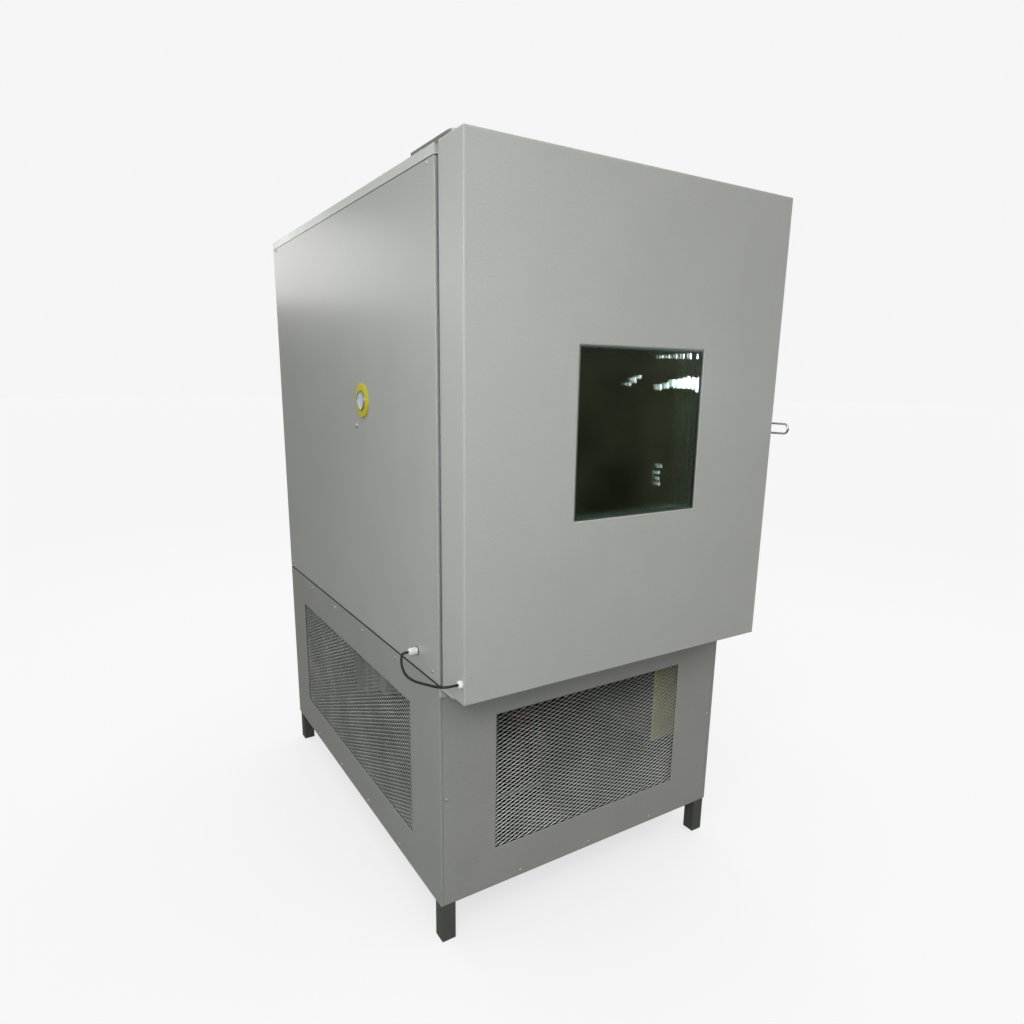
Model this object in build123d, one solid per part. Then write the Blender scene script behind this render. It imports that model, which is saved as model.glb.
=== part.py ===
import os
from math import cos, pi, radians, sin, sqrt, tan

from build123d import *

os.makedirs("parts", exist_ok=True)

# Overall sizes, in mm. X is the width, the front looks along -Y, the floor is Z 0.
overall_width = 1000.0
body_depth = 1340.0
body_height = 1225.0
seam_height = 755.0
door_thickness = 110.0
door_gap = 20.0
base_clearance = 115.0

# Fits
seat = 0.3
running = 0.05
face_step = 0.5

# Sheet and tube
sheet = 2.0
return_width = 8.0
side_inset = 4.0
leg_size = 40.0
leg_wall = 3.0
seam_half_gap = 2.0
roof_flange = 22.0
wall = 100.0
liner_flange = 15.0

# Foot plates
foot_plate = 8.0
foot_hole_radius = 6.5

# Mesh windows in the base
mesh_low = 234.0
mesh_high = 636.0
side_mesh_length = 996.0
side_mesh_centre = 10.0
front_mesh_length = 664.0
mesh_margin = 15.0
mesh_thickness = 1.5
mesh_strand = 9.0
side_mesh_columns = 8
front_mesh_columns = 6
mesh_rows = 7

# Door window
window_width = 404.0
window_height = 414.0
window_offset = 4.0
window_low = 409.0
pane_count = 7
pane_thickness = 5.0
pane_setback = 4.0
spacer_width = 7.0
retainer_lip = 10.0

# Door seal
seal_inset = 60.0
seal_width = 20.0

# Door hinge
pivot_inset = 28.0
pivot_forward = 35.0
pin_radius = 8.0
bush_radius = 12.0
bush_length = 30.0
top_plate_thickness = 7.0
bottom_plate_thickness = 6.0
hinge_plate_width = 60.0
top_plate_tail = 116.0
plate_nose = 60.0
plate_corner = 15.0

# Latch
latch_height = 616.5
latch_back = 22.0
spindle_radius = 5.0
hub_radius = 20.0
loop_radius = 13.5
loop_rod_radius = 3.0
loop_reach = 47.0
loop_offset = 15.0
claw_thickness = 6.0
keeper_distance = 60.0
claw_clearance = 1.0

# Cable port
port_behind_front = 470.0
port_height = 682.0
port_bore_radius = 25.0
port_wall = 1.5
port_ring_radius = 48.0
port_ring_thickness = 6.0
plug_clearance = 0.1

# Cable and glands
cable_radius = 3.25
gland_radius = 9.5
side_gland_length = 25.0
door_gland_length = 10.0
gland_behind_front = 128.0
gland_height = 50.0
door_gland_setback = 12.0
mains_gland_radius = 14.0

# Circulation fan
fan_radius = 120.0
fan_height = 895.0
shaft_radius = 7.0
motor_radius = 52.0
plenum_depth = 140.0

# Refrigeration set
compressor_radius = 100.0
compressor_height = 280.0
rubber_height = 24.0
coil_width = 520.0
coil_height = 360.0
coil_depth = 50.0
condenser_fan_radius = 150.0

# Angle on the tray and electrical box
tray_angle_x = -195.0
tray_angle_length = 185.0
tray_angle_behind_front = 240.0
tray_angle_height = 43.0
tray_angle_width = 20.0
box_depth = 153.0
box_behind_front = 110.0
box_length = 440.0
box_level = 160.0
box_height = 320.0

# Screw heads
screw_radius = 4.5
screw_height = 2.5

# Wire shelf
shelf_level = 395.0
shelf_length = 760.0
shelf_rod = 4.0
rail_height = 20.0
rail_reach = 18.0

# Positions that follow from the sizes above
half_width = overall_width / 2
front_y = -body_depth / 2
rear_y = body_depth / 2
roof_z = seam_height + body_height
door_back = front_y - door_gap
door_front = door_back - door_thickness
door_low = seam_height + face_step
door_high = roof_z - face_step
leg_x = half_width - side_inset - leg_size / 2
leg_y = body_depth / 2 - sheet - leg_size / 2
rail_top = base_clearance + leg_size
cavity_x = half_width - wall
cavity_low = seam_height + wall
cavity_high = roof_z - wall
cavity_rear = rear_y - wall
pivot_x = -half_width + pivot_inset
pivot_y = door_back - pivot_forward
window_z = seam_height + window_low
latch_z = seam_height + latch_height
spindle_y = door_back - latch_back
keeper_y = spindle_y + keeper_distance
loop_x = half_width + loop_offset
port_y = front_y + port_behind_front
port_z = seam_height + port_height
gland_y = front_y + gland_behind_front
gland_z = seam_height + gland_height
fan_z = seam_height + fan_height
baffle_y = cavity_rear - plenum_depth
tray_top = rail_top + sheet
shelf_z = seam_height + shelf_level
mains_x = half_width - 150
mains_z = base_clearance + 75


# Small shared shapes
def block(x0, x1, y0, y1, z0, z1):
    centre = ((x0 + x1) / 2, (y0 + y1) / 2, (z0 + z1) / 2)
    return Pos(*centre) * Box(x1 - x0, y1 - y0, z1 - z0)


def rod_x(x0, x1, y, z, radius):
    return Pos((x0 + x1) / 2, y, z) * Rot(0, 90, 0) * Cylinder(radius, x1 - x0)


def rod_y(x, y0, y1, z, radius):
    return Pos(x, (y0 + y1) / 2, z) * Rot(90, 0, 0) * Cylinder(radius, y1 - y0)


def rod_z(x, y, z0, z1, radius):
    return Pos(x, y, (z0 + z1) / 2) * Cylinder(radius, z1 - z0)


def group(shapes):
    solids = []
    for shape in shapes:
        solids.extend(shape.solids())
    return Compound(children=solids)


def save(shape, node):
    export_step(shape, "parts/" + node + ".step")


# Welded frame of square tube: four legs, a lower ring and an upper ring of rails
def base_frame():
    low_rail = (base_clearance, rail_top)
    high_rail = (seam_height - leg_size, seam_height)
    outer = None
    hollow = []
    half = leg_size / 2
    inner = half - leg_wall
    for sx in (-1, 1):
        for sy in (-1, 1):
            x = sx * leg_x
            y = sy * leg_y
            leg = block(x - half, x + half, y - half, y + half, 0, seam_height)
            outer = leg if outer is None else outer + leg
            hollow.append(block(x - inner, x + inner, y - inner, y + inner, -1, seam_height + 1))
    for z0, z1 in (low_rail, high_rail):
        for side in (-1, 1):
            x = side * leg_x
            y = side * leg_y
            outer += block(x - half, x + half, -leg_y, leg_y, z0, z1)
            outer += block(-leg_x, leg_x, y - half, y + half, z0, z1)
            rail_z = (z0 + leg_wall, z1 - leg_wall)
            hollow.append(block(x - inner, x + inner, -leg_y + half, leg_y - half, *rail_z))
            hollow.append(block(-leg_x + half, leg_x - half, y - inner, y + inner, *rail_z))
    for void in hollow:
        outer -= void
    return outer


# Threaded plates welded inside the leg bottoms
def foot_plates():
    half = leg_size / 2 - leg_wall - seat / 2
    plates = []
    for sx in (-1, 1):
        for sy in (-1, 1):
            x = sx * leg_x
            y = sy * leg_y
            plate = block(x - half, x + half, y - half, y + half, 0, foot_plate)
            plates.append(plate - rod_z(x, y, -1, foot_plate + 1, foot_hole_radius))
    return group(plates)


# Short bright angle that stands on the tray behind the front grille
def tray_angle():
    x0 = tray_angle_x
    x1 = x0 + tray_angle_length
    y0 = front_y + tray_angle_behind_front
    top = tray_top + tray_angle_height
    web = block(x0, x1, y0, y0 + sheet, tray_top, top)
    return web + block(x0, x1, y0, y0 + tray_angle_width, top - sheet, top)


# Sheet floor of the machine space, notched round the legs
def machine_tray():
    x = half_width - side_inset
    y = body_depth / 2 - sheet
    tray = block(-x, x, -y, y, rail_top, tray_top)
    notch = leg_size / 2 + seat
    for sx in (-1, 1):
        for sy in (-1, 1):
            cx = sx * leg_x
            cy = sy * leg_y
            tray -= block(cx - notch, cx + notch, cy - notch, cy + notch, rail_top - 1, tray_top + 1)
    return tray + tray_angle()


# Shallow sheet pan on the side of the base, with short returns on its four edges
def base_side_panel(side, with_mesh):
    low = base_clearance
    high = seam_height - seam_half_gap
    x = side * half_width
    inner = side * (half_width - sheet)
    back = side * (half_width - side_inset)
    x0, x1 = sorted((x, back))
    panel = block(x0, x1, front_y, rear_y, low, high)
    i0, i1 = sorted((inner, back))
    panel -= block(i0, i1, front_y + sheet, rear_y - sheet, low + sheet, high - sheet)
    edge0, edge1 = sorted((back, side * (half_width - return_width)))
    panel += block(edge0, edge1, front_y, front_y + sheet, low, high)
    panel += block(edge0, edge1, rear_y - sheet, rear_y, low, high)
    if with_mesh:
        y0 = side_mesh_centre - side_mesh_length / 2
        y1 = side_mesh_centre + side_mesh_length / 2
        panel -= block(x0 - 1, x1 + 1, y0, y1, mesh_low, mesh_high)
    return panel


# Flat sheet between the side pans, front and rear
def base_front_panel():
    x = half_width - return_width - face_step
    panel = block(-x, x, front_y, front_y + sheet, base_clearance, seam_height - seam_half_gap)
    half = front_mesh_length / 2
    return panel - block(-half, half, front_y - 1, front_y + sheet + 1, mesh_low, mesh_high)


def base_rear_panel():
    x = half_width - return_width - face_step
    y = rear_y - sheet
    panel = block(-x, x, y, rear_y, base_clearance, seam_height - seam_half_gap)
    slot_half = coil_width / 2 - 40
    panel -= rod_y(mains_x, y - 1, rear_y + 1, mains_z, mains_gland_radius - 1.5 + seat)
    for row in range(8):
        z = mesh_low + 20 + row * 40
        panel -= block(-slot_half, slot_half, y - 1, rear_y + 1, z, z + 12)
    return panel


# Corner points of one diamond opening, held inside the window
def diamond_points(cx, cy, a, b, width, height):
    points = []
    for x, y in ((cx + a, cy), (cx, cy + b), (cx - a, cy), (cx, cy - b)):
        held = (min(max(x, 0.0), width), min(max(y, 0.0), height))
        if held not in points:
            points.append(held)
    return points


# Expanded metal: staggered rows of long diamonds with even strands, in a plain edge
def expanded_metal(length, columns):
    height = mesh_high - mesh_low
    half_long = length / columns / 2
    half_short = height / mesh_rows / 2
    across = half_long * half_short / sqrt(half_long ** 2 + half_short ** 2)
    shrink = 1 - mesh_strand / 2 / across
    a = half_long * shrink
    b = half_short * shrink
    holes = []
    for j in range(2 * mesh_rows + 1):
        shift = j % 2
        for i in range(columns + 1 - shift):
            cx = (2 * i + shift) * half_long
            cy = j * half_short
            points = diamond_points(cx, cy, a, b, length, height)
            holes.append(Wire.make_polygon(points, close=True))
    m = mesh_margin
    edge = [(-m, -m), (length + m, -m), (length + m, height + m), (-m, height + m)]
    face = Face(Wire.make_polygon(edge, close=True), holes)
    return Pos(-length / 2, 0, 0) * extrude(face, mesh_thickness, dir=(0, 0, 1))


def side_mesh():
    sheet_part = expanded_metal(side_mesh_length, side_mesh_columns)
    turned = Rot(0, 0, 90) * Rot(90, 0, 0) * sheet_part
    return Pos(-half_width + sheet, side_mesh_centre, mesh_low) * turned


def front_mesh():
    turned = Rot(90, 0, 0) * expanded_metal(front_mesh_length, front_mesh_columns)
    return Pos(0, front_y + sheet + mesh_thickness, mesh_low) * turned


# Outer side sheet of the insulated body
def body_side_panel(side):
    low = seam_height + seam_half_gap
    high = roof_z - roof_flange - face_step
    x0, x1 = sorted((side * half_width, side * (half_width - sheet)))
    panel = block(x0, x1, front_y, rear_y, low, high)
    edge0, edge1 = sorted((side * (half_width - sheet), side * (half_width - return_width)))
    panel += block(edge0, edge1, front_y, front_y + sheet, low, high)
    panel += block(edge0, edge1, rear_y - sheet, rear_y, low, high)
    if side < 0:
        reach = (x0 - 1, x1 + 1)
        panel -= rod_x(*reach, port_y, port_z, port_bore_radius + port_wall + seat)
        panel -= rod_x(*reach, gland_y, gland_z, gland_radius - 1.5 + seat)
    return panel


def body_rear_panel():
    x = half_width - return_width - face_step
    low = seam_height + seam_half_gap
    high = roof_z - roof_flange - face_step
    return block(-x, x, rear_y - sheet, rear_y, low, high)


def body_floor():
    x = half_width - sheet
    y = body_depth / 2 - sheet
    floor = block(-x, x, -y, y, seam_height, seam_height + sheet)
    for px, py, radius in pipe_risers():
        floor -= rod_z(px, py, seam_height - 1, seam_height + sheet + 1, radius + seat)
    return floor


# Roof pan with a flange all round
def roof_panel():
    roof = block(-half_width, half_width, front_y, rear_y, roof_z - roof_flange, roof_z)
    x = half_width - sheet
    y = body_depth / 2 - sheet
    return roof - block(-x, x, -y, y, roof_z - roof_flange - 1, roof_z - sheet)


# Thermal break between the outer shell and the liner, seen in the door gap
def front_surround():
    x = half_width - return_width - face_step
    low = seam_height + seam_half_gap
    high = roof_z - roof_flange - face_step
    ring = block(-x, x, front_y, front_y + sheet, low, high)
    inner_x = cavity_x + liner_flange + seat
    z0 = cavity_low - liner_flange - seat
    z1 = cavity_high + liner_flange + seat
    return ring - block(-inner_x, inner_x, front_y - 1, front_y + sheet + 1, z0, z1)


# Stainless liner with a flanged mouth
def liner():
    x = cavity_x + sheet
    box = block(-x, x, front_y + sheet, cavity_rear + sheet, cavity_low - sheet, cavity_high + sheet)
    fx = cavity_x + liner_flange
    z0 = cavity_low - liner_flange
    z1 = cavity_high + liner_flange
    box += block(-fx, fx, front_y, front_y + sheet, z0, z1)
    box -= block(-cavity_x, cavity_x, front_y - 1, cavity_rear, cavity_low, cavity_high)
    box -= rod_x(-x - 1, -x + sheet + 1, port_y, port_z, port_bore_radius + port_wall + seat)
    box -= rod_y(0, cavity_rear - 1, cavity_rear + sheet + 1, fan_z, shaft_radius + 1)
    for px, py, radius in pipe_risers():
        box -= rod_z(px, py, cavity_low - sheet - 1, cavity_low + 1, radius + seat)
    return box


def insulation():
    x = half_width - sheet
    y = body_depth / 2 - sheet
    foam = block(-x, x, -y, y, seam_height + sheet, roof_z - sheet)
    lx = cavity_x + sheet
    foam -= block(-lx, lx, -y - 1, cavity_rear + sheet, cavity_low - sheet, cavity_high + sheet)
    hole = port_bore_radius + port_wall + seat
    foam -= rod_x(-x - 1, -lx + 1, port_y, port_z, hole)
    foam -= rod_x(-x - 1, -x + 20, gland_y, gland_z, gland_radius - 1.5 + seat)
    foam -= rod_y(0, cavity_rear, y + 1, fan_z, motor_radius + seat)
    for px, py, radius in pipe_risers():
        foam -= rod_z(px, py, seam_height, cavity_low, radius + seat)
    return foam


# Cable port: tube through the wall, round flange and a stopper that pulls out
def port_tube():
    outer = port_bore_radius + port_wall
    x0 = -half_width - port_ring_thickness - 2
    tube = rod_x(x0, -cavity_x, port_y, port_z, outer)
    return tube - rod_x(x0 - 1, -cavity_x + 1, port_y, port_z, port_bore_radius)


def port_ring():
    x0 = -half_width - port_ring_thickness
    ring = rod_x(x0, -half_width, port_y, port_z, port_ring_radius)
    ring = chamfer(ring.edges().group_by(Axis.X)[0], 1.5)
    return ring - rod_x(x0 - 1, -half_width + 1, port_y, port_z, port_bore_radius + port_wall + seat)


def port_plug():
    x0 = -half_width - port_ring_thickness - 4
    radius = port_bore_radius - plug_clearance
    plug = rod_x(x0, -cavity_x, port_y, port_z, radius)
    plug = chamfer(plug.edges().group_by(Axis.X)[0], 2)
    return plug - rod_x(x0 - 1, x0 + 3, port_y, port_z, radius / 3)


def port_cap():
    cap = rod_x(-half_width - 4, -half_width, port_y + 52, port_z - 72, 7)
    return chamfer(cap.edges().group_by(Axis.X)[0], 1)


# Cable gland: hexagon nut, domed cap, and a spigot through the sheet
def gland(length, spigot, radius):
    nut_height = length * 0.35
    nut = extrude(RegularPolygon(radius * 1.08, 6), nut_height)
    cap = Pos(0, 0, nut_height) * Cylinder(radius, length - nut_height, align=(Align.CENTER,) * 2 + (Align.MIN,))
    cap = chamfer(cap.edges().group_by(Axis.Z)[-1], radius / 4)
    stub = Pos(0, 0, -spigot) * Cylinder(radius - 1.5, spigot, align=(Align.CENTER,) * 2 + (Align.MIN,))
    body = nut + cap + stub
    hole = Pos(0, 0, -spigot - 1) * Cylinder(
        cable_radius + seat, length + spigot + 2, align=(Align.CENTER,) * 2 + (Align.MIN,)
    )
    return body - hole


def side_gland():
    return Pos(-half_width, gland_y, gland_z) * Rot(0, -90, 0) * gland(side_gland_length, 12, gland_radius)


def door_gland():
    y = door_front + door_gland_setback
    return Pos(-half_width, y, gland_z + 1) * Rot(0, -90, 0) * gland(door_gland_length, 8, gland_radius)


def mains_gland():
    turned = Rot(-90, 0, 0) * gland(30, sheet, mains_gland_radius)
    return Pos(mains_x, rear_y, mains_z) * turned


# Cable from the side gland round to the door gland, as route points in mm
def cable_route():
    y = gland_y
    z = gland_z
    door_y = door_front + door_gland_setback
    reach = half_width
    return [
        (-reach - 9, y, z),
        (-reach - 35, y, z),
        (-reach - 51, y - 17, z + 6),
        (-reach - 66, y - 47, z - 10),
        (-reach - 69, y - 81, z - 25),
        (-reach - 64, y - 114, z - 27),
        (-reach - 60, y - 147, z - 21),
        (-reach - 57, door_y + 66, z - 13),
        (-reach - 54, door_y + 34, z - 6),
        (-reach - 42, door_y + 7, z - 1),
        (-reach - 21, door_y, z + 1),
        (-reach + 1, door_y, z + 1),
    ]


def door_cable():
    points = [Vector(*p) for p in cable_route()]
    radii = []
    for i in range(1, len(points) - 1):
        before = points[i] - points[i - 1]
        after = points[i + 1] - points[i]
        turn = radians(before.get_angle(after))
        shorter = min(before.length, after.length)
        radii.append(0.45 * shorter / tan(max(turn, 0.01) / 2))
    print("cable radii", [round(r, 1) for r in radii])
    path = FilletPolyline(*points, radius=radii)
    start = Plane(origin=path @ 0, z_dir=path % 0)
    tube = sweep(start * Circle(cable_radius), path=path)
    expected = pi * cable_radius ** 2 * path.length
    print("cable length", round(path.length, 1), "volume ratio", round(tube.volume / expected, 4))
    return tube


# Screw heads on the panels
def screw_heads():
    head = extrude(RegularPolygon(screw_radius, 12), screw_height)
    heads = []
    pitch = body_depth / 5.115
    for side in (-1, 1):
        x = side * half_width
        outward = Rot(0, side * 90, 0) * head
        for i in range(4):
            y = (i - 1.5) * pitch
            for z in (base_clearance + 18, seam_height - 25):
                heads.append(Pos(x, y, z) * outward)
        for y in (front_y + 36, rear_y - 36):
            for z in (seam_height + 25, roof_z - roof_flange - 9):
                heads.append(Pos(x, y, z) * outward)
        heads.append(Pos(side * (half_width - 18), front_y, mesh_low + 198) * Rot(90, 0, 0) * head)
    for x in (-overall_width / 4.04, 0, overall_width / 4.04):
        heads.append(Pos(x, front_y, base_clearance + 15) * Rot(90, 0, 0) * head)
        heads.append(Pos(x, rear_y, base_clearance + 15) * Rot(-90, 0, 0) * head)
        heads.append(Pos(x, rear_y, seam_height - 25) * Rot(-90, 0, 0) * head)
    heads.append(port_cap())
    return group(heads)


# Hinge plates: the upper one on the roof, the lower one on an angle under the door
def plate_outline(y0, y1, z0, thickness):
    plate = block(-half_width, -half_width + hinge_plate_width, y0, y1, z0, z0 + thickness)
    nose = [e for e in plate.edges().filter_by(Axis.Z) if e.center().Y < y0 + 1]
    return fillet(nose, plate_corner)


def hinge_plate_top():
    y0 = door_back - plate_nose
    plate = plate_outline(y0, front_y + top_plate_tail, roof_z, top_plate_thickness)
    return plate - rod_z(pivot_x, pivot_y, roof_z - 1, roof_z + 20, pin_radius + running)


def hinge_plate_bottom():
    y0 = door_back - plate_nose
    z0 = seam_height - bottom_plate_thickness
    plate = plate_outline(y0, front_y, z0, bottom_plate_thickness)
    x1 = -half_width + hinge_plate_width
    plate += block(-half_width, x1, front_y - 5, front_y, z0 - 24, z0)
    return plate - rod_z(pivot_x, pivot_y, z0 - 1, seam_height + 1, pin_radius + running)


def hinge_pins():
    top = rod_z(pivot_x, pivot_y, door_high - bush_length, roof_z + top_plate_thickness, pin_radius)
    z0 = seam_height - bottom_plate_thickness
    bottom = rod_z(pivot_x, pivot_y, z0, door_low + bush_length, pin_radius)
    return group([top, bottom])


def hinge_screws():
    heads = []
    x = -half_width + hinge_plate_width / 2
    for y in (front_y + 30, front_y + 62, front_y + 94):
        z = roof_z + top_plate_thickness
        head = extrude(Pos(x, y, z) * RegularPolygon(9, 6), 5)
        heads.append(head)
    for dx in (-15, 15):
        z = seam_height - bottom_plate_thickness - 13
        heads.append(rod_y(x + dx, front_y - 9, front_y - 5, z, 5))
    return group(heads)


def hinge_bushes():
    bushes = []
    for z0 in (door_low, door_high - bush_length):
        bush = rod_z(pivot_x, pivot_y, z0, z0 + bush_length, bush_radius)
        bushes.append(bush - rod_z(pivot_x, pivot_y, z0 - 1, z0 + bush_length + 1, pin_radius + running))
    return group(bushes)


# Door: pan, inner skin, foam, window stack and seal
def window_block(grow, y0, y1):
    x0 = window_offset - window_width / 2 - grow
    x1 = window_offset + window_width / 2 + grow
    return block(x0, x1, y0, y1, window_z - grow, window_z + window_height + grow)


def door_holes(shape, radius):
    low = rod_z(pivot_x, pivot_y, door_low - 1, door_low + bush_length + 5, radius)
    high = rod_z(pivot_x, pivot_y, door_high - bush_length - 5, door_high + 1, radius)
    return shape - low - high


def door_shell():
    shell = block(-half_width, half_width, door_front, door_back, door_low, door_high)
    x = half_width - sheet
    shell -= block(-x, x, door_front + sheet, door_back + 1, door_low + sheet, door_high - sheet)
    shell -= window_block(0, door_front - 1, door_front + sheet + 1)
    y = door_front + door_gland_setback
    shell -= rod_x(-half_width - 1, -x + 1, y, gland_z + 1, gland_radius - 1.5 + seat)
    shell -= rod_x(x - 1, half_width + 1, spindle_y, latch_z, spindle_radius + running)
    return door_holes(shell, bush_radius + seat)


def door_inner_skin():
    x = half_width - sheet
    skin = block(-x, x, door_back - sheet, door_back, door_low + sheet, door_high - sheet)
    return skin - window_block(-retainer_lip, door_back - sheet - 1, door_back + 1)


def door_insulation():
    x = half_width - sheet
    y0 = door_front + sheet
    y1 = door_back - sheet
    foam = block(-x, x, y0, y1, door_low + sheet, door_high - sheet)
    foam -= window_block(sheet, y0 - 1, y1 + 1)
    y = door_front + door_gland_setback
    foam -= rod_x(-x - 1, -x + 8, y, gland_z + 1, gland_radius - 1.5 + seat)
    foam -= rod_x(x - 20, x + 1, spindle_y, latch_z, spindle_radius + running)
    return door_holes(foam, bush_radius + seat)


def window_sleeve():
    y0 = door_front + sheet
    y1 = door_back - sheet
    return window_block(sheet, y0, y1) - window_block(0, y0 - 1, y1 + 1)


def pane_step():
    first = door_front + pane_setback
    last = door_back - sheet - pane_thickness
    return (last - first) / (pane_count - 1)


def pane(index):
    y0 = door_front + pane_setback + index * pane_step()
    return window_block(-seat, y0, y0 + pane_thickness)


def inner_panes():
    return group([pane(i) for i in range(1, pane_count)])


def window_spacers():
    spacers = []
    for i in range(pane_count - 1):
        y0 = door_front + pane_setback + i * pane_step() + pane_thickness
        y1 = door_front + pane_setback + (i + 1) * pane_step()
        ring = window_block(-seat, y0, y1) - window_block(-spacer_width, y0 - 1, y1 + 1)
        spacers.append(ring)
    return group(spacers)


def window_bead():
    y1 = door_front + pane_setback
    ring = window_block(-seat, door_front + 1, y1)
    return ring - window_block(-spacer_width + 3, door_front, y1 + 1)


def door_seal():
    x = half_width - seal_inset
    z0 = seam_height + seal_inset
    z1 = roof_z - seal_inset
    seal = block(-x, x, door_back, front_y, z0, z1)
    w = seal_width
    return seal - block(-x + w, x - w, door_back - 1, front_y + 1, z0 + w, z1 - w)


# Latch: plate and spindle on the door, claw and wire handle turning on it, keeper on the body
def latch_plate():
    x0 = half_width
    plate = block(x0, x0 + 3, spindle_y - 50, door_back - 2, latch_z - 28, latch_z + 28)
    return plate - rod_x(x0 - 1, x0 + 4, spindle_y, latch_z, spindle_radius + running)


def latch_spindle():
    head_x = loop_x + loop_rod_radius + 3.5
    spindle = rod_x(half_width - 20, head_x, spindle_y, latch_z, spindle_radius)
    return spindle + rod_x(head_x, head_x + 4, spindle_y, latch_z, spindle_radius * 1.7)


def claw_sector(inner, outer, start, sweep_angle):
    steps = 8
    points = []
    for i in range(steps + 1):
        angle = radians(start + sweep_angle * i / steps)
        points.append((outer * cos(angle), outer * sin(angle)))
    for i in range(steps, -1, -1):
        angle = radians(start + sweep_angle * i / steps)
        points.append((inner * cos(angle), inner * sin(angle)))
    return Polygon(*points, align=None)


def latch_claw():
    slot = spindle_radius + claw_clearance
    reach = keeper_distance
    arm = Circle(hub_radius) + Pos(reach / 2, -4) * Rectangle(reach, 26)
    arm += claw_sector(reach - 12, reach + slot + 9, -22, 30)
    arm -= Pos(reach, 0) * Circle(slot)
    arm -= claw_sector(reach - slot, reach + slot, 0, 34)
    arm -= Circle(spindle_radius + running)
    x0 = half_width + 4
    claw = extrude(arm, claw_thickness)
    in_plane = Plane(origin=(x0, spindle_y, latch_z), x_dir=(0, 0, -1), z_dir=(1, 0, 0))
    return in_plane * claw


def latch_handle():
    end = door_front - loop_reach + loop_rod_radius
    start = spindle_y - hub_radius + 6
    arc_y = end + loop_radius
    high = latch_z + loop_radius
    low = latch_z - loop_radius
    upper = Line((loop_x, start, high), (loop_x, arc_y, high))
    bend = ThreePointArc((loop_x, arc_y, high), (loop_x, end, latch_z), (loop_x, arc_y, low))
    lower = Line((loop_x, arc_y, low), (loop_x, start, low))
    path = Wire([upper.edge(), bend.edge(), lower.edge()])
    rod = sweep(Plane(origin=(loop_x, start, high), z_dir=(0, -1, 0)) * Circle(loop_rod_radius), path=path)
    hub_x0 = half_width + 4 + claw_thickness
    hub = rod_x(hub_x0, loop_x + loop_rod_radius + 3, spindle_y, latch_z, hub_radius)
    hub -= rod_x(hub_x0 - 1, loop_x + 10, spindle_y, latch_z, spindle_radius + running)
    return hub + rod


def latch_keeper():
    x0 = half_width
    plate = block(x0, x0 + 3, front_y + 4, keeper_y + 26, latch_z - 28, latch_z + 28)
    pin = rod_x(x0 + 3, x0 + 12, keeper_y, latch_z, spindle_radius)
    return plate + pin


# Inside the chamber: shelf rails, wire shelf, baffle, coil, heater, fan and motor
def shelf_rails():
    rails = []
    for side in (-1, 1):
        x = side * cavity_x
        step = side * (cavity_x - sheet)
        reach = side * (cavity_x - rail_reach)
        x0, x1 = sorted((x, step))
        rail = block(x0, x1, front_y + 90, baffle_y - 90, shelf_z - rail_height, shelf_z)
        x0, x1 = sorted((x, reach))
        rail += block(x0, x1, front_y + 90, baffle_y - 90, shelf_z - rail_height, shelf_z - rail_height + sheet)
        rails.append(rail)
    return group(rails)


def wire_shelf():
    z = shelf_z - rail_height + sheet + shelf_rod
    x = cavity_x - sheet - 4 - seat
    y0 = front_y + 110
    y1 = y0 + shelf_length
    shelf = None
    for side in (-1, 1):
        bar = block(side * x - 4, side * x + 4, y0, y1, z - shelf_rod, z + shelf_rod)
        shelf = bar if shelf is None else shelf + bar
    for y in (y0, y1 - 8):
        shelf += block(-x, x, y, y + 8, z - shelf_rod, z + shelf_rod)
    count = 15
    for i in range(1, count + 1):
        bx = -x + i * 2 * x / (count + 1)
        shelf += block(bx - 2, bx + 2, y0 + 4, y1 - 4, z + 1, z + shelf_rod)
    return shelf


def air_baffle():
    plate = block(-cavity_x, cavity_x, baffle_y, baffle_y + sheet, cavity_low + 60, cavity_high)
    plate -= rod_y(0, baffle_y - 1, baffle_y + sheet + 1, fan_z, fan_radius + 12)
    for i in range(9):
        x = -cavity_x + 80 + i * (2 * cavity_x - 160) / 8
        plate -= block(x - 15, x + 15, baffle_y - 1, baffle_y + sheet + 1, cavity_low + 90, cavity_low + 190)
    return plate


# Finned coil: end plates and a grooved fin pack, with return bends at one side
def finned_coil(width, height, depth):
    pack = block(-width / 2, width / 2, -depth / 2, depth / 2, 0, height)
    fins = 16
    pitch = width / fins
    for i in range(fins):
        x = -width / 2 + (i + 0.5) * pitch
        pack -= block(x - pitch * 0.3, x + pitch * 0.3, -depth / 2 - 1, -depth / 2 + 12, 12, height - 12)
        pack -= block(x - pitch * 0.3, x + pitch * 0.3, depth / 2 - 12, depth / 2 + 1, 12, height - 12)
    bend_radius = height / 12
    for i in range(3):
        z = height * (i + 0.5) / 3
        x = width / 2
        pack += rod_x(x, x + bend_radius, 0, z - bend_radius, 6)
        pack += rod_x(x, x + bend_radius, 0, z + bend_radius, 6)
        pack += rod_z(x + bend_radius, 0, z - bend_radius, z + bend_radius, 6)
    return pack


def evaporator():
    y = baffle_y + sheet + coil_depth / 2 + 4
    return Pos(0, y, cavity_low + 40) * finned_coil(coil_width, coil_height, coil_depth)


def evaporator_stands():
    y = baffle_y + sheet + 4
    stands = []
    for side in (-1, 1):
        x = side * coil_width * 0.4
        stands.append(block(x - 15, x + 15, y, y + coil_depth, cavity_low, cavity_low + 40))
    return group(stands)


def heater():
    y = baffle_y + sheet + 30
    z = fan_z - fan_radius - 90
    half = coil_width * 0.38
    bars = None
    for i in range(4):
        bar = rod_x(-half, half, y, z + i * 16, 4)
        bars = bar if bars is None else bars + bar
    for side in (-1, 1):
        bars += block(side * half - 4, side * half + 4, baffle_y + sheet, y + 8, z - 10, z + 58)
    return bars


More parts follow.
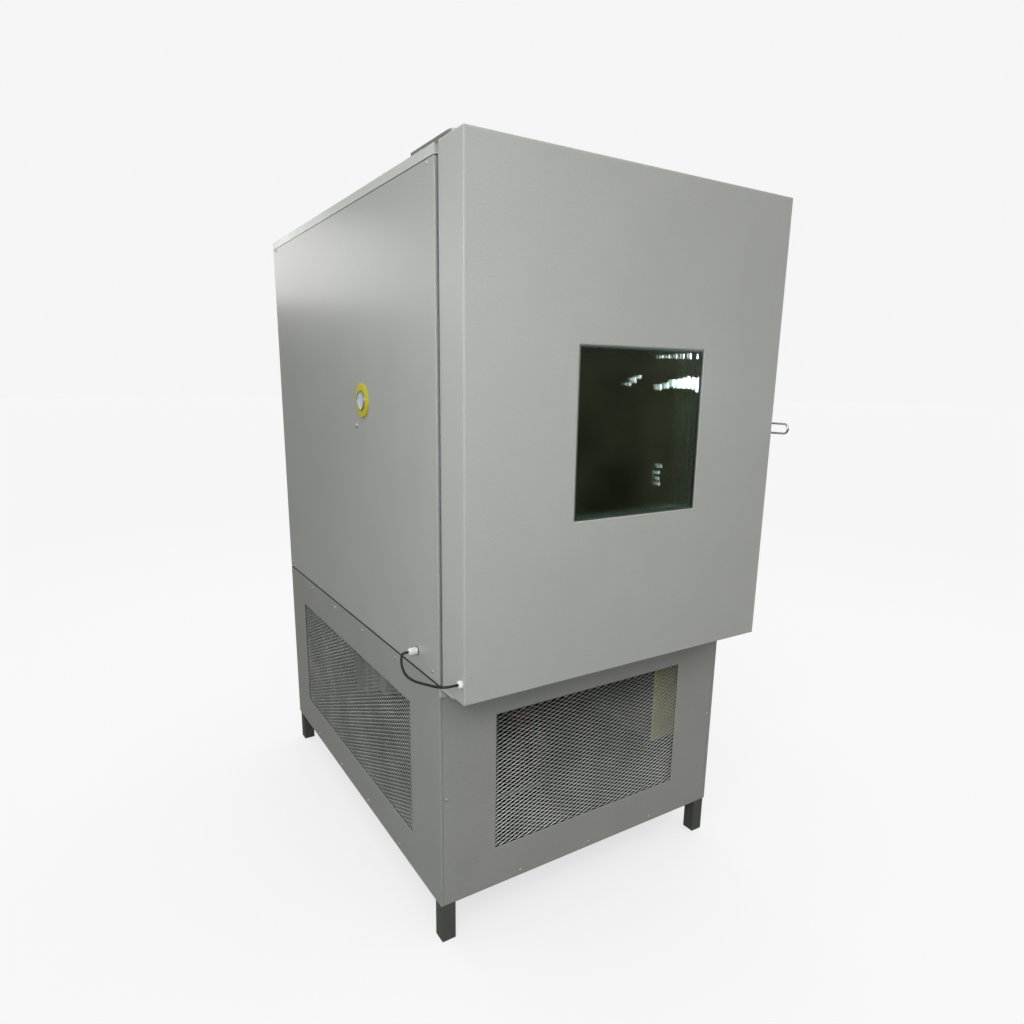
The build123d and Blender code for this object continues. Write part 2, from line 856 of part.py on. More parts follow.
# Fan wheel: hub, shaft and tilted blades, facing -Y
def fan_wheel(radius, blades, hub_radius_, width):
    hub = Cylinder(hub_radius_, width)
    wheel = hub
    for i in range(blades):
        blade = Box(radius - hub_radius_ / 2, radius * 0.45, 2)
        blade = Pos((radius + hub_radius_ / 2) / 2, 0, 0) * Rot(28, 0, 0) * blade
        wheel += Rot(0, 0, 360 * i / blades) * blade
    rim = Cylinder(radius, width * 4)
    return Rot(90, 0, 0) * (wheel & rim)


def circulation_fan():
    y = baffle_y + sheet + 70
    wheel = Pos(0, y, fan_z) * fan_wheel(fan_radius, 6, 26, 30)
    return wheel + rod_y(0, y, cavity_rear + sheet + 30, fan_z, shaft_radius)


def fan_motor():
    y0 = cavity_rear + sheet
    motor = rod_y(0, y0, rear_y - sheet, fan_z, motor_radius)
    return motor - rod_y(0, y0 - 1, y0 + 32, fan_z, shaft_radius + running)


# Machine space
compressor_x = -overall_width * 0.18
compressor_y = -body_depth * 0.1
condenser_y = rear_y - sheet - leg_size - 12 - coil_depth / 2


def compressor():
    z0 = tray_top + rubber_height
    x = compressor_x
    y = compressor_y
    base = block(x - 95, x + 95, y - 95, y + 95, z0, z0 + 5)
    pot = rod_z(x, y, z0 + 5, z0 + 5 + compressor_height, compressor_radius)
    pot = chamfer(pot.edges().group_by(Axis.Z)[-1], 34)
    box = block(x + compressor_radius - 12, x + compressor_radius + 30, y - 35, y + 35, z0 + 120, z0 + 200)
    return base + pot + box


def compressor_mounts():
    mounts = []
    for sx in (-1, 1):
        for sy in (-1, 1):
            x = compressor_x + sx * 75
            y = compressor_y + sy * 75
            mounts.append(rod_z(x, y, tray_top, tray_top + rubber_height, 15))
    return group(mounts)


def condenser():
    coil = Pos(0, condenser_y, tray_top + 20) * finned_coil(coil_width, coil_height, coil_depth)
    for side in (-1, 1):
        x = side * coil_width * 0.4
        foot_y = coil_depth / 2
        coil += block(x - 20, x + 20, condenser_y - foot_y, condenser_y + foot_y, tray_top, tray_top + 20)
    return coil


def condenser_shroud():
    y1 = condenser_y - coil_depth / 2
    z0 = tray_top + 20
    half = coil_height / 2
    box = block(-half, half, y1 - 70, y1, z0, z0 + coil_height)
    box -= block(-half + 2, half - 2, y1 - 68, y1 + 1, z0 + 2, z0 + coil_height - 2)
    return box - rod_y(0, y1 - 71, y1 - 60, z0 + half, condenser_fan_radius + 6)


def condenser_fan():
    z = tray_top + 20 + coil_height / 2
    y = condenser_y - coil_depth / 2 - 62
    wheel = Pos(0, y, z) * fan_wheel(condenser_fan_radius, 5, 34, 26)
    return wheel + rod_y(0, y - 50, y, z, shaft_radius)


def condenser_motor():
    z = tray_top + 20 + coil_height / 2
    y = condenser_y - coil_depth / 2 - 62
    y0 = y - 110
    y1 = y - 24
    motor = rod_y(0, y0, y1, z, 42)
    motor -= rod_y(0, y - 52, y1 + 1, z, shaft_radius + running)
    stand = block(-25, 25, y0 + 10, y1 - 20, tray_top, z - 30)
    return motor + (stand - rod_y(0, y - 52, y1 + 1, z, shaft_radius + running))


def receiver():
    x = overall_width * 0.1
    y = compressor_y
    vessel = rod_z(x, y, tray_top, tray_top + 300, 45)
    return chamfer(vessel.edges().group_by(Axis.Z)[-1], 14)


def filter_drier():
    x = overall_width * 0.1
    y = compressor_y - 120
    body = rod_z(x, y, tray_top, tray_top + 110, 22)
    return body + rod_z(x, y, tray_top + 110, tray_top + 140, 8)


# Where the two refrigerant pipes rise through the body floor
def pipe_risers():
    y = baffle_y + sheet + 4 + coil_depth + 22
    return [(-coil_width * 0.35, y, 9.0), (-coil_width * 0.35 - 40, y, 5.0)]


def pipe_run(points, radius):
    path = Polyline(*points)
    start = Plane(origin=path @ 0, z_dir=path % 0)
    return sweep(start * Circle(radius), path=path, transition=Transition.RIGHT)


def pipework():
    x = compressor_x
    y = compressor_y
    top = tray_top + rubber_height + 5 + compressor_height
    runs = []
    (ax, ay, ar), (bx, by, br) = pipe_risers()
    level = seam_height - leg_size - 60
    lift = top + 40
    suction = [(ax, y + 30, top), (ax, y + 30, level), (ax, ay, level), (ax, ay, cavity_low + 70)]
    liquid = [(x - 30, y, top), (x - 30, y, lift), (bx, y, lift), (bx, by, lift), (bx, by, cavity_low + 70)]
    runs.append(pipe_run(suction, ar))
    runs.append(pipe_run(liquid, br))
    rx = overall_width * 0.1
    mid = tray_top + 180
    low = tray_top + 140
    runs.append(pipe_run([(rx, y - 120, low), (rx, y - 120, mid), (rx, y - 45, mid)], 5))
    return group(runs)


# Electrics on the right: box behind the panel, control plate, screen and main switch
def electrical_box():
    x1 = half_width - sheet
    y0 = front_y + box_behind_front
    z0 = tray_top + box_level
    box = block(x1 - box_depth, x1, y0, y0 + box_length, z0, z0 + box_height)
    lid = [e for e in box.edges().filter_by(Axis.Y) if e.center().X < x1 - 1]
    return chamfer(lid, sheet)


def control_plate():
    x0 = half_width
    y = front_y + 170
    return block(x0, x0 + 3, y - 90, y + 90, seam_height - 290, seam_height - 60)


def controller_screen():
    x0 = half_width + 3
    y = front_y + 170
    screen = block(x0, x0 + 8, y - 65, y + 65, seam_height - 180, seam_height - 80)
    face = screen.faces().sort_by(Axis.X)[-1]
    return chamfer(face.edges(), 2)


def main_switch():
    x0 = half_width + 3
    y = front_y + 170
    z = seam_height - 235
    knob = rod_x(x0, x0 + 10, y, z, 22)
    return knob + block(x0 + 10, x0 + 26, y - 6, y + 6, z - 22, z + 22)


save(base_frame(), "base_frame")
save(foot_plates(), "foot_plates")
save(machine_tray(), "machine_tray")
save(base_side_panel(-1, True), "base_panel_left")
save(base_side_panel(1, False), "base_panel_right")
save(base_front_panel(), "base_panel_front")
save(base_rear_panel(), "base_panel_rear")
save(side_mesh(), "mesh_left")
save(front_mesh(), "mesh_front")
save(body_side_panel(-1), "body_panel_left")
save(body_side_panel(1), "body_panel_right")
save(body_rear_panel(), "body_panel_rear")
save(body_floor(), "body_floor")
save(roof_panel(), "roof_panel")
save(front_surround(), "front_surround")
save(liner(), "liner")
save(insulation(), "insulation")
save(port_tube(), "port_tube")
save(port_ring(), "port_ring")
save(port_plug(), "port_plug")
save(side_gland(), "side_gland")
save(door_gland(), "door_gland")
save(mains_gland(), "mains_gland")
save(door_cable(), "door_cable")
save(screw_heads(), "panel_screws")
save(hinge_plate_top(), "hinge_plate_top")
save(hinge_plate_bottom(), "hinge_plate_bottom")
save(hinge_pins(), "hinge_pins")
save(hinge_screws(), "hinge_screws")
save(hinge_bushes(), "hinge_bushes")
save(door_shell(), "door_shell")
save(door_inner_skin(), "door_inner_skin")
save(door_insulation(), "door_insulation")
save(window_sleeve(), "window_sleeve")
save(pane(0), "window_outer_pane")
save(inner_panes(), "window_inner_panes")
save(window_spacers(), "window_spacers")
save(window_bead(), "window_bead")
save(door_seal(), "door_seal")
save(latch_plate(), "latch_plate")
save(latch_spindle(), "latch_spindle")
save(latch_claw(), "latch_claw")
save(latch_handle(), "latch_handle")
save(latch_keeper(), "latch_keeper")
save(shelf_rails(), "shelf_rails")
save(wire_shelf(), "wire_shelf")
save(air_baffle(), "air_baffle")
save(group([evaporator(), evaporator_stands()]), "evaporator")
save(heater(), "heater")
save(circulation_fan(), "circulation_fan")
save(fan_motor(), "fan_motor")
save(compressor(), "compressor")
save(compressor_mounts(), "compressor_mounts")
save(group([condenser(), condenser_shroud()]), "condenser")
save(condenser_fan(), "condenser_fan")
save(condenser_motor(), "condenser_motor")
save(group([receiver(), filter_drier(), pipework()]), "receiver_and_pipes")
save(electrical_box(), "electrical_box")
save(group([control_plate(), controller_screen()]), "control_panel")
save(main_switch(), "main_switch")
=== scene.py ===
import math

import bmesh
import bpy
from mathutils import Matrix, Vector


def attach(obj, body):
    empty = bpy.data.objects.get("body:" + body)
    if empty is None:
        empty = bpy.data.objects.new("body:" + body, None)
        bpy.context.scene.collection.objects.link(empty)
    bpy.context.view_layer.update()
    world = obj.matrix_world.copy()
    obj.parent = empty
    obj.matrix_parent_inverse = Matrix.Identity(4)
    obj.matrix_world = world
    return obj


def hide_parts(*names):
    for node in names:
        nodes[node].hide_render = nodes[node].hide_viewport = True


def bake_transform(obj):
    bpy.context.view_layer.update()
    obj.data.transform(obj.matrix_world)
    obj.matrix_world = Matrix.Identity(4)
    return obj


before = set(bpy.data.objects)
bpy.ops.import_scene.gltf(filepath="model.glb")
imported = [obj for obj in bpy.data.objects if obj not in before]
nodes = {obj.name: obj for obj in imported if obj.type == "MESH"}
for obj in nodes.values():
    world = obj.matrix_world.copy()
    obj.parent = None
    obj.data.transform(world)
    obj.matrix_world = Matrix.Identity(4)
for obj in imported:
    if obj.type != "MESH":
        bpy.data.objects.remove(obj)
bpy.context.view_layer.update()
scene = bpy.context.scene


# camera, at a standing person's eye
cameraSetup = {
    "place": (-1.2151, -2.1179, 1.4918),
    "angles": (77.136, -0.609, -31.528),  # degrees, XYZ
    "lens": 24.53,
    "shift": (0.0099, 0.0288),
}


def addCamera(setup):
    data = bpy.data.cameras.new("camera")
    data.sensor_width = 36
    data.lens = setup["lens"]
    data.shift_x, data.shift_y = setup["shift"]
    data.clip_end = 200
    cam = bpy.data.objects.new("camera", data)
    cam.location = setup["place"]
    cam.rotation_euler = [math.radians(a) for a in setup["angles"]]
    scene.collection.objects.link(cam)
    scene.camera = cam


addCamera(cameraSetup)
print("camera set")


# shader helpers
patternReach = (0.3, 0.7)  # where most of a noise pattern's values lie
bendSetup = {"samples": 4, "sharp": 0.78, "flat": 0.98}  # how the shaders find a sheet's bends, for the painted highlight along them, and soften them


def newMaterial(name):
    mat = bpy.data.materials.new(name)
    mat.use_nodes = True
    tree = mat.node_tree
    return mat, tree, tree.nodes["Principled BSDF"]


def addNode(tree, kind, **values):
    node = tree.nodes.new(kind)
    for key, value in values.items():
        if key in node.inputs:
            node.inputs[key].default_value = value
        else:
            setattr(node, key, value)
    return node


def noiseAt(tree, scale, stretch=(1, 1, 1), detail=3.0, rough=0.55):
    coords = tree.nodes.new("ShaderNodeTexCoord")
    place = tree.nodes.new("ShaderNodeMapping")
    place.inputs["Scale"].default_value = stretch
    tree.links.new(coords.outputs["Object"], place.inputs["Vector"])
    noise = tree.nodes.new("ShaderNodeTexNoise")
    noise.inputs["Scale"].default_value = scale
    noise.inputs["Detail"].default_value = detail
    noise.inputs["Roughness"].default_value = rough
    tree.links.new(place.outputs["Vector"], noise.inputs["Vector"])
    return noise.outputs["Fac"]


def rangeOf(tree, source, low, high, fromLow=patternReach[0], fromHigh=patternReach[1]):
    node = tree.nodes.new("ShaderNodeMapRange")
    node.inputs["From Min"].default_value = fromLow
    node.inputs["From Max"].default_value = fromHigh
    node.inputs["To Min"].default_value = low
    node.inputs["To Max"].default_value = high
    tree.links.new(source, node.inputs["Value"])
    return node.outputs["Result"]


def shadeBetween(tree, source, dark, light):
    ramp = tree.nodes.new("ShaderNodeValToRGB")
    for element, position, colour in zip(ramp.color_ramp.elements, patternReach, (dark, light)):
        element.position = position
        element.color = (*colour, 1)
    tree.links.new(source, ramp.inputs["Fac"])
    return ramp.outputs["Color"]


def scaled(colour, factor):
    return tuple(min(1.0, c * factor) for c in colour)


def bevelNode(tree, radius):
    bevel = tree.nodes.new("ShaderNodeBevel")
    bevel.samples = bendSetup["samples"]
    bevel.inputs["Radius"].default_value = radius
    return bevel


def addBump(tree, shader, source, strength, distance, rounding):
    bump = tree.nodes.new("ShaderNodeBump")
    bump.inputs["Strength"].default_value = strength
    bump.inputs["Distance"].default_value = distance
    tree.links.new(source, bump.inputs["Height"])
    if rounding:
        tree.links.new(bevelNode(tree, rounding).outputs["Normal"], bump.inputs["Normal"])
    tree.links.new(bump.outputs["Normal"], shader.inputs["Normal"])


# 1 along outer bends of a sheet, where a painted highlight lightens the paint, and 0 on the flat
def paintedHighlightMask(tree, radius):
    geometry = tree.nodes.new("ShaderNodeNewGeometry")
    dot = addNode(tree, "ShaderNodeVectorMath", operation="DOT_PRODUCT")
    tree.links.new(bevelNode(tree, radius).outputs["Normal"], dot.inputs[0])
    tree.links.new(geometry.outputs["Normal"], dot.inputs[1])
    return rangeOf(tree, dot.outputs["Value"], 1, 0, bendSetup["sharp"], bendSetup["flat"])


def mixColours(tree, factor, first, second, blend="MIX"):
    mix = tree.nodes.new("ShaderNodeMix")
    mix.data_type = "RGBA"
    mix.blend_type = blend
    for socket, value in ((0, factor), (6, first), (7, second)):
        if isinstance(value, bpy.types.NodeSocket):
            tree.links.new(value, mix.inputs[socket])
        elif socket == 0:
            mix.inputs[socket].default_value = value
        else:
            mix.inputs[socket].default_value = (*value, 1)
    return mix.outputs[2]


def compare(tree, value, limit, kind):
    node = addNode(tree, "ShaderNodeMath", operation=kind)
    tree.links.new(value, node.inputs[0])
    node.inputs[1].default_value = limit
    return node.outputs[0]


def placeParts(tree):
    coords = tree.nodes.new("ShaderNodeTexCoord")
    parts = tree.nodes.new("ShaderNodeSeparateXYZ")
    tree.links.new(coords.outputs["Object"], parts.inputs[0])
    return parts.outputs


# one where a point lies inside the sheets, zero on their outer faces; it marks where shade is painted
def insideShadeMask(tree, reach):
    parts = placeParts(tree)
    masks = []
    for axis, limit in zip("XY", reach):
        size = addNode(tree, "ShaderNodeMath", operation="ABSOLUTE")
        tree.links.new(parts[axis], size.inputs[0])
        masks.append(compare(tree, size.outputs[0], limit, "LESS_THAN"))
    both = addNode(tree, "ShaderNodeMath", operation="MULTIPLY")
    tree.links.new(masks[0], both.inputs[0])
    tree.links.new(masks[1], both.inputs[1])
    return both.outputs[0]


# painted and moulded finishes: a mottled colour, a grain in the surface, an uneven sheen
# spread, fleck and sheenSpread are how far the colour and the roughness wander
# within and darkAbove paint shade on what lies inside the sheets and a seam's shadow
coatBasics = {
    "mottleScale": 7,
    "spread": 0.05,
    "fleck": 0.06,
    "sheenSpread": 0.05,
    "coat": 0,
    "coatRough": 0.22,
    "grainStep": 0.0006,
    "rounding": 0,
    "seamShadow": (0.03, 0.03, 0.03),
}


def coatedFinish(name, changes):
    look = {**coatBasics, **changes}
    mat, tree, shader = newMaterial(name)
    mottle = noiseAt(tree, look["mottleScale"])
    grain = noiseAt(tree, look["grainScale"], detail=2)
    colour = look["colour"]
    base = shadeBetween(tree, mottle, scaled(colour, 1 - look["spread"]), scaled(colour, 1 + look["spread"]))
    fleck = shadeBetween(tree, grain, scaled((1, 1, 1), 1 - look["fleck"]), (1, 1, 1))
    tint = mixColours(tree, 1, base, fleck, "MULTIPLY")
    # painted highlight: the colour is lightened along the outer bends
    if "paintedEdgeHighlight" in look:
        tint = mixColours(tree, paintedHighlightMask(tree, look["rounding"]), tint, scaled(colour, look["paintedEdgeHighlight"]))
    # painted shade: faces inside the sheets are darkened
    if "within" in look:
        tint = mixColours(tree, insideShadeMask(tree, look["within"]), tint, look["withinColour"])
    if "darkAbove" in look:
        high = compare(tree, placeParts(tree)["Z"], look["darkAbove"], "GREATER_THAN")
        tint = mixColours(tree, high, tint, look["seamShadow"])
    tree.links.new(tint, shader.inputs["Base Color"])
    low = look["rough"] - look["sheenSpread"]
    high = look["rough"] + look["sheenSpread"]
    tree.links.new(rangeOf(tree, mottle, low, high), shader.inputs["Roughness"])
    shader.inputs["Coat Weight"].default_value = look["coat"]
    shader.inputs["Coat Roughness"].default_value = look["coatRough"]
    addBump(tree, shader, grain, look["grainDepth"], look["grainStep"], look["rounding"])
    return mat


# metals: fine drawn lines or plain mill surface
metalBasics = {
    "stretch": (1, 1, 1),
    "spread": 0.08,
    "cloudScale": 6,
    "depth": 0.15,
    "lineStep": 0.0004,
    "rounding": 0,
    "smoothest": 0.8,
    "roughest": 1.25,
}


def metalFinish(name, changes):
    look = {**metalBasics, **changes}
    mat, tree, shader = newMaterial(name)
    shader.inputs["Metallic"].default_value = 1
    lines = noiseAt(tree, look["lineScale"], look["stretch"], detail=4)
    cloud = noiseAt(tree, look["cloudScale"])
    colour = look["colour"]
    tone = shadeBetween(tree, cloud, scaled(colour, 1 - look["spread"]), scaled(colour, 1 + look["spread"]))
    # painted shade: below a height the tone is darkened
    if "above" in look:
        high = compare(tree, placeParts(tree)["Z"], look["above"], "GREATER_THAN")
        tone = mixColours(tree, high, look["paintedShadeBelow"], tone)
    tree.links.new(tone, shader.inputs["Base Color"])
    rough = look["rough"]
    sheen = rangeOf(tree, lines, rough * look["smoothest"], rough * look["roughest"])
    tree.links.new(sheen, shader.inputs["Roughness"])
    addBump(tree, shader, lines, look["depth"], look["lineStep"], look["rounding"])
    return mat


# what the powder-coated sheets share, with a painted highlight along their bends
sheetPaint = {"rough": 0.42, "grainScale": 260, "grainDepth": 0.35, "spread": 0.02, "fleck": 0.1,
              "rounding": 0.006, "paintedEdgeHighlight": 1.5, "sheenSpread": 0.012, "coat": 0.25}
paintLooks = {
    "bodyPaint": {**sheetPaint, "colour": (0.395, 0.4, 0.376), "darkAbove": 1.9555},
    "doorPaint": {**sheetPaint, "colour": (0.43, 0.434, 0.403)},
    # painted shade: the base panels' inner faces are darkened, and a band at the top paints the seam's shadow
    "basePaint": {**sheetPaint, "colour": (0.318, 0.32, 0.302), "rough": 0.44, "spread": 0.03,
                  "rounding": 0.005, "paintedEdgeHighlight": 1.35, "sheenSpread": 0.015, "coat": 0.2,
                  "within": (0.499, 0.669), "withinColour": (0.02, 0.021, 0.02), "darkAbove": 0.7512},
    # painted light: the roof's paint is lighter than the body's, for the light falling from above
    "roofPaintWithPaintedLight": {"colour": (0.56, 0.58, 0.53), "rough": 0.4, "grainScale": 260, "grainDepth": 0.35,
                  "spread": 0.02, "fleck": 0.1, "rounding": 0.003, "coat": 0.25},
    "portYellow": {"colour": (0.56, 0.5, 0.03), "rough": 0.36, "grainScale": 500, "grainDepth": 0.1,
                   "rounding": 0.001},
    "framePaint": {"colour": (0.085, 0.088, 0.08), "rough": 0.4, "grainScale": 500, "grainDepth": 0.25,
                   "spread": 0.08, "rounding": 0.003},
    # painted shade: the box's faces behind its front plate are darkened
    "boxPaint": {"colour": (0.55, 0.5, 0.2), "rough": 0.45, "grainScale": 500, "grainDepth": 0.2,
                 "rounding": 0.002, "within": (2.0, 0.557), "withinColour": (0.05, 0.052, 0.05)},
    "motorPaint": {"colour": (0.035, 0.045, 0.06), "rough": 0.4, "grainScale": 400, "grainDepth": 0.2},
    "blackPaint": {"colour": (0.012, 0.012, 0.013), "rough": 0.32, "grainScale": 300, "grainDepth": 0.2},
    "surroundPlastic": {"colour": (0.3, 0.3, 0.37), "rough": 0.55, "grainScale": 900, "grainDepth": 0.15},
    "foamFill": {"colour": (0.7, 0.6, 0.32), "rough": 0.9, "grainScale": 260, "grainDepth": 0.9,
                 "spread": 0.12},
    "whiteNylon": {"colour": (0.78, 0.79, 0.77), "rough": 0.42, "grainScale": 1200, "grainDepth": 0.08,
                   "fleck": 0.02},
    "panelPlastic": {"colour": (0.02, 0.021, 0.023), "rough": 0.5, "grainScale": 1500, "grainDepth": 0.12},
    "switchRed": {"colour": (0.5, 0.012, 0.008), "rough": 0.25, "grainScale": 900, "grainDepth": 0.04,
                  "fleck": 0.02},
    "cableRubber": {"colour": (0.007, 0.007, 0.0075), "rough": 0.45, "grainScale": 1500, "grainDepth": 0.1},
    "sealRubber": {"colour": (0.03, 0.027, 0.034), "rough": 0.7, "grainScale": 1100, "grainDepth": 0.2},
    "siliconeStopper": {"colour": (0.56, 0.64, 0.72), "rough": 0.5, "grainScale": 400, "grainDepth": 0.12,
                        "spread": 0.08},
}

metalLooks = {
    "meshMetal": {"colour": (0.86, 0.9, 0.86), "rough": 0.44, "lineScale": 240, "depth": 0.2, "spread": 0.18},
    "zincSteel": {"colour": (0.3, 0.31, 0.31), "rough": 0.38, "lineScale": 45, "depth": 0.1, "spread": 0.14},
    "stainless": {"colour": (0.6, 0.59, 0.57), "rough": 0.3, "lineScale": 420, "stretch": (0.05, 1, 1),
                  "depth": 0.05},
    "brightSteel": {"colour": (0.64, 0.64, 0.63), "rough": 0.22, "lineScale": 300, "stretch": (1, 1, 0.1),
                    "rounding": 0.001},
    "screwSteel": {"colour": (0.78, 0.78, 0.77), "rough": 0.46, "lineScale": 400, "spread": 0.1},
    "chromeRod": {"colour": (0.72, 0.72, 0.73), "rough": 0.12, "lineScale": 120, "depth": 0.03,
                  "spread": 0.03},
    "aluminiumFins": {"colour": (0.68, 0.69, 0.7), "rough": 0.36, "lineScale": 300, "stretch": (1, 1, 0.08)},
    "beadSteel": {"colour": (0.3, 0.35, 0.32), "rough": 0.35, "lineScale": 300},
    "spacerBar": {"colour": (0.6, 0.72, 0.68), "rough": 0.3, "lineScale": 300},
    "trayZinc": {"colour": (0.5, 0.51, 0.5), "rough": 0.4, "lineScale": 45, "spread": 0.14, "above": 0.1965,
                 "paintedShadeBelow": (0.03, 0.031, 0.03)},  # painted shade darkens all but the angle's top leg, which the light from above makes bright
    "bronze": {"colour": (0.45, 0.28, 0.11), "rough": 0.4, "lineScale": 300},
    "copper": {"colour": (0.3, 0.14, 0.08), "rough": 0.28, "lineScale": 120, "depth": 0.06, "spread": 0.16},
}

finishes = {}
for finishName, look in paintLooks.items():
    finishes[finishName] = coatedFinish(finishName, look)
for finishName, look in metalLooks.items():
    finishes[finishName] = metalFinish(finishName, look)


# glass: clear with a green tinge, a faint dust that lifts its roughness
glassLook = {"colour": (0.82, 0.87, 0.83), "shade": 0.97, "rough": 0.003, "dust": 0.012, "dustScale": 9,
             "index": 1.45}


def glassFinish(look):
    mat, tree, shader = newMaterial("paneGlass")
    cloud = noiseAt(tree, look["dustScale"])
    tone = shadeBetween(tree, cloud, scaled(look["colour"], look["shade"]), look["colour"])
    tree.links.new(tone, shader.inputs["Base Color"])
    tree.links.new(rangeOf(tree, cloud, look["rough"], look["dust"]), shader.inputs["Roughness"])
    shader.inputs["Transmission Weight"].default_value = 1
    shader.inputs["IOR"].default_value = look["index"]
    # lamps reach the spacers behind the panes
    clear = tree.nodes.new("ShaderNodeBsdfTransparent")
    clear.inputs["Color"].default_value = (*look["colour"], 1)
    rays = tree.nodes.new("ShaderNodeLightPath")
    mix = tree.nodes.new("ShaderNodeMixShader")
    tree.links.new(rays.outputs["Is Shadow Ray"], mix.inputs[0])
    tree.links.new(shader.outputs[0], mix.inputs[1])
    tree.links.new(clear.outputs[0], mix.inputs[2])
    tree.links.new(mix.outputs[0], tree.nodes["Material Output"].inputs["Surface"])
    return mat


finishes["paneGlass"] = glassFinish(glassLook)

finishOfNode = {
    "base_frame": "framePaint", "foot_plates": "zincSteel", "machine_tray": "trayZinc",
    "base_panel_left": "basePaint", "base_panel_right": "basePaint", "base_panel_front": "basePaint",
    "base_panel_rear": "basePaint", "mesh_left": "meshMetal", "mesh_front": "meshMetal",
    "body_panel_left": "bodyPaint", "body_panel_right": "bodyPaint", "body_panel_rear": "bodyPaint",
    "roof_panel": "roofPaintWithPaintedLight", "body_floor": "zincSteel", "front_surround": "surroundPlastic",
    "liner": "stainless", "insulation": "foamFill", "port_tube": "brightSteel", "port_ring": "portYellow",
    "port_plug": "siliconeStopper", "side_gland": "whiteNylon", "door_gland": "whiteNylon",
    "mains_gland": "whiteNylon", "door_cable": "cableRubber", "panel_screws": "screwSteel",
    "hinge_plate_top": "brightSteel", "hinge_plate_bottom": "doorPaint", "hinge_pins": "brightSteel",
    "hinge_screws": "screwSteel", "hinge_bushes": "bronze", "door_shell": "doorPaint",
    "door_inner_skin": "stainless", "door_insulation": "foamFill", "window_sleeve": "stainless",
    "window_outer_pane": "paneGlass", "window_inner_panes": "paneGlass", "window_spacers": "spacerBar",
    "window_bead": "beadSteel", "door_seal": "sealRubber", "latch_plate": "stainless",
    "latch_spindle": "brightSteel", "latch_claw": "stainless", "latch_handle": "chromeRod",
    "latch_keeper": "stainless", "shelf_rails": "stainless", "wire_shelf": "chromeRod",
    "air_baffle": "stainless", "evaporator": "aluminiumFins", "heater": "brightSteel",
    "circulation_fan": "aluminiumFins", "fan_motor": "motorPaint", "compressor": "blackPaint",
    "compressor_mounts": "sealRubber", "condenser": "aluminiumFins", "condenser_fan": "aluminiumFins",
    "condenser_motor": "motorPaint", "receiver_and_pipes": "copper", "electrical_box": "boxPaint",
    "control_panel": "panelPlastic", "main_switch": "switchRed",
}
for nodeName, finishName in finishOfNode.items():
    mesh = nodes[nodeName].data
    mesh.materials.clear()
    mesh.materials.append(finishes[finishName])
print("finishes on", len(finishOfNode), "CAD pieces")


# mesh helpers
def meshPiece(name, verts, faces, finish, smooth=False):
    mesh = bpy.data.meshes.new(name)
    mesh.from_pydata([tuple(v) for v in verts], [], faces)
    mesh.validate()
    mesh.materials.append(finishes[finish])
    if smooth:
        mesh.polygons.foreach_set("use_smooth", [True] * len(mesh.polygons))
    obj = bpy.data.objects.new(name, mesh)
    scene.collection.objects.link(obj)
    return obj


# points on circles round an axis that starts at base
def spinner(base, axis):
    axis = Vector(axis).normalized()
    side = axis.orthogonal().normalized()
    other = axis.cross(side)

    def point(along, radius, angle):
        return Vector(base) + axis * along + (side * math.cos(angle) + other * math.sin(angle)) * radius

    return point


def fullTurn(count, start=0.0):
    return [2 * math.pi * i / count + start for i in range(count)]


def addRing(verts, points):
    start = len(verts)
    verts.extend(points)
    return range(start, len(verts))


def bandsBetween(rings):
    bands = []
    for first, second in zip(rings, rings[1:]):
        count = len(first)
        for i in range(count):
            j = (i + 1) % count
            bands.append((first[i], first[j], second[j], second[i]))
    return bands


# a turned shape: (distance along the axis, radius) pairs spun round it
def turned(profile, base, axis, segments=40):
    point = spinner(base, axis)
    verts = []
    rings = []
    for along, radius in profile:
        rings.append(addRing(verts, [point(along, radius, a) for a in fullTurn(segments)]))
    faces = bandsBetween(rings)
    faces.append(tuple(rings[0])[::-1])
    faces.append(tuple(rings[-1]))
    return verts, faces


# a round tube along a line of points; across is its sideways direction if that never changes
def tubeAlong(path, radius, sides, across=None, capped=True):
    verts = []
    rings = []
    for i, place in enumerate(path):
        ahead = (path[min(i + 1, len(path) - 1)] - path[max(i - 1, 0)]).normalized()
        out = across
        if out is None:
            out = ahead.cross(Vector((0, 0, 1)))
            if out.length < 0.05:
                out = ahead.cross(Vector((1, 0, 0)))
            out.normalize()
        above = out.cross(ahead)
        ring = [place + (out * math.cos(a) + above * math.sin(a)) * radius for a in fullTurn(sides)]
        rings.append(addRing(verts, ring))
    faces = bandsBetween(rings)
    if capped:
        faces.append(tuple(rings[0]))
        faces.append(tuple(rings[-1])[::-1])
    return verts, faces


def joinShapes(shapes):
    verts = []
    faces = []
    for shapeVerts, shapeFaces in shapes:
        start = len(verts)
        verts.extend(shapeVerts)
        faces.extend(tuple(start + i for i in face) for face in shapeFaces)
    return verts, faces


def sharpen(obj, angle=35):
    mesh = obj.data
    mesh.polygons.foreach_set("use_smooth", [True] * len(mesh.polygons))
    bm = bmesh.new()
    bm.from_mesh(mesh)
    limit = math.radians(angle)
    for edge in bm.edges:
        if len(edge.link_faces) == 2 and edge.calc_face_angle() > limit:
            edge.smooth = False
    bm.to_mesh(mesh)
    bm.free()
    return obj


# the cable that crosses the door hinge, its route in metres as in the CAD
cableSetup = {"radius": 0.00325, "length": 0.328, "sides": 20, "steps": 24}
cableRoute = [
    (-0.509, -0.542, 0.805),
    (-0.535, -0.542, 0.805),
    (-0.551, -0.559, 0.811),
    (-0.566, -0.589, 0.795),
    (-0.569, -0.623, 0.780),
    (-0.564, -0.656, 0.778),
    (-0.560, -0.689, 0.784),
    (-0.557, -0.722, 0.792),
    (-0.554, -0.754, 0.799),
    (-0.542, -0.781, 0.804),
    (-0.521, -0.788, 0.806),
    (-0.499, -0.788, 0.806),
]


